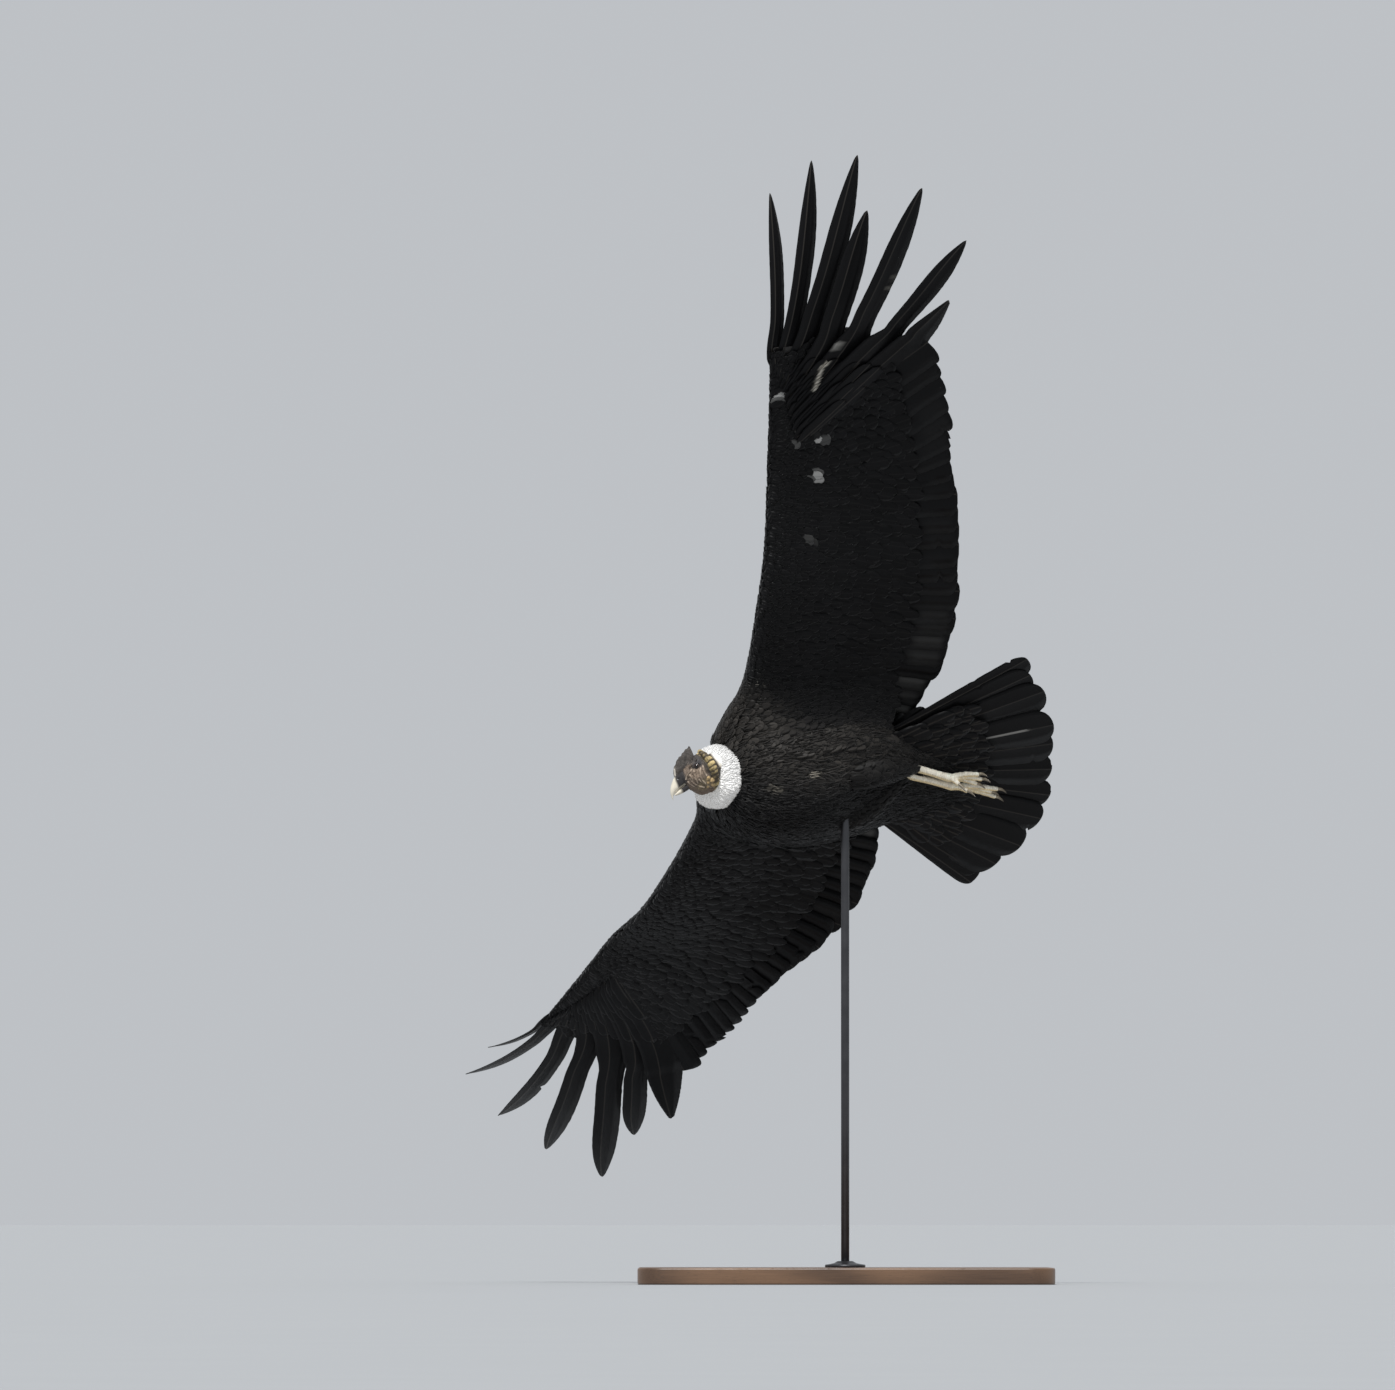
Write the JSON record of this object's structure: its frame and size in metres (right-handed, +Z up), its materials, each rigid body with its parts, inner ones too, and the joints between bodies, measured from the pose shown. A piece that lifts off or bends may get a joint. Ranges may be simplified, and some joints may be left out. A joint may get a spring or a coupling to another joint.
{
  "type": "andean condor model",
  "caption": "Life-size gliding male Andean condor with fingered wings spread and banked, white neck ruff and head comb, held on a display stand by a slim rod and a flat base.",
  "frame": {"origin": "middle of the underside of the stand's base, on the floor", "axes": "+Z up. The bill points towards -X and the tail towards +X. The left wing is raised and leans towards -Y, and the right wing is low and reaches towards +Y. The picture looks along +Y."},
  "size_m": [1.2947, 2.0015, 2.4098],
  "materials": {
    "feather": "matt black feathers with a faint brown and blue sheen, white on the upper side of the secondaries",
    "down": "white downy tufts",
    "bare_skin": "bare wrinkled skin, grey-brown with yellow folds",
    "comb_skin": "dark fleshy comb, matt",
    "bill": "ivory horn, dark towards the face",
    "eye": "clear and wet, brown iris",
    "leg_skin": "pale scaly skin",
    "claw": "dark horn",
    "stand_wood": "oiled dark wood",
    "stand_steel": "blackened satin steel"
  },
  "bodies": {
    "root": {"bill_lower": "bill", "bill_upper": "bill", "claw_left_1": "claw", "claw_left_2": "claw", "claw_left_3": "claw", "claw_left_4": "claw", "claw_right_1": "claw", "claw_right_2": "claw", "claw_right_3": "claw", "claw_right_4": "claw", "comb": "comb_skin", "eye_left": "eye", "eye_right": "eye", "foot_left": "leg_skin", "foot_right": "leg_skin", "head": "bare_skin", "neck": "bare_skin", "primary_left_p04": "feather", "primary_left_p05": "feather", "primary_left_p06": "feather", "primary_left_p07": "feather", "primary_left_p08": "feather", "primary_left_p09": "feather", "primary_left_p10": "feather", "primary_right_p04": "feather", "primary_right_p05": "feather", "primary_right_p06": "feather", "primary_right_p07": "feather", "primary_right_p08": "feather", "primary_right_p09": "feather", "primary_right_p10": "feather", "ruff": "down", "rump": "feather", "shank_left": "leg_skin", "shank_right": "leg_skin", "stand_base": "stand_wood", "stand_collar": "stand_steel", "stand_rod": "stand_steel", "tail": "feather", "thigh_left": "feather", "thigh_right": "feather", "trunk": "feather", "wing_left_forearm": "feather", "wing_left_hand": "feather", "wing_left_upper_arm": "feather", "wing_right_forearm": "feather", "wing_right_hand": "feather", "wing_right_upper_arm": "feather"}
  },
  "joints": []
}
